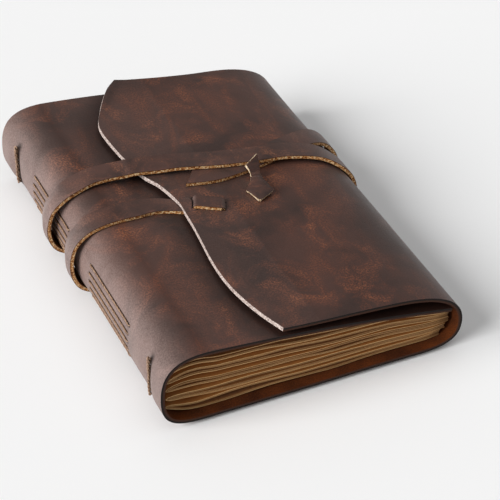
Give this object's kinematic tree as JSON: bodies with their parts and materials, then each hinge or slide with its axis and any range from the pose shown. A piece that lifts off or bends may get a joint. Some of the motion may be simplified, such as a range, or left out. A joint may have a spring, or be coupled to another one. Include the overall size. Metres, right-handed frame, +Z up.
{
  "type": "leather journal",
  "caption": "Closed wrap-style leather journal with sewn paper signatures, a wave-edged flap, a woven strap wound round the book and a small leather toggle.",
  "frame": {"origin": "centre of the footprint, on the underside of the strap, the lowest face", "axes": "+X from the spine towards the fore edge, +Y from tail to head, +Z up through the front cover"},
  "size_m": [0.163, 0.203, 0.0496],
  "materials": {
    "cover_leather": "satin",
    "strap_leather": "satin",
    "toggle_leather": "satin",
    "kraft_paper": "matte",
    "waxed_thread": "satin"
  },
  "bodies": {
    "root": {"cover": "cover_leather", "signature_1": "kraft_paper", "signature_2": "kraft_paper", "signature_3": "kraft_paper", "signature_4": "kraft_paper", "signature_5": "kraft_paper", "sewing_thread": "waxed_thread", "strap": "strap_leather", "toggle": "toggle_leather"}
  },
  "joints": []
}
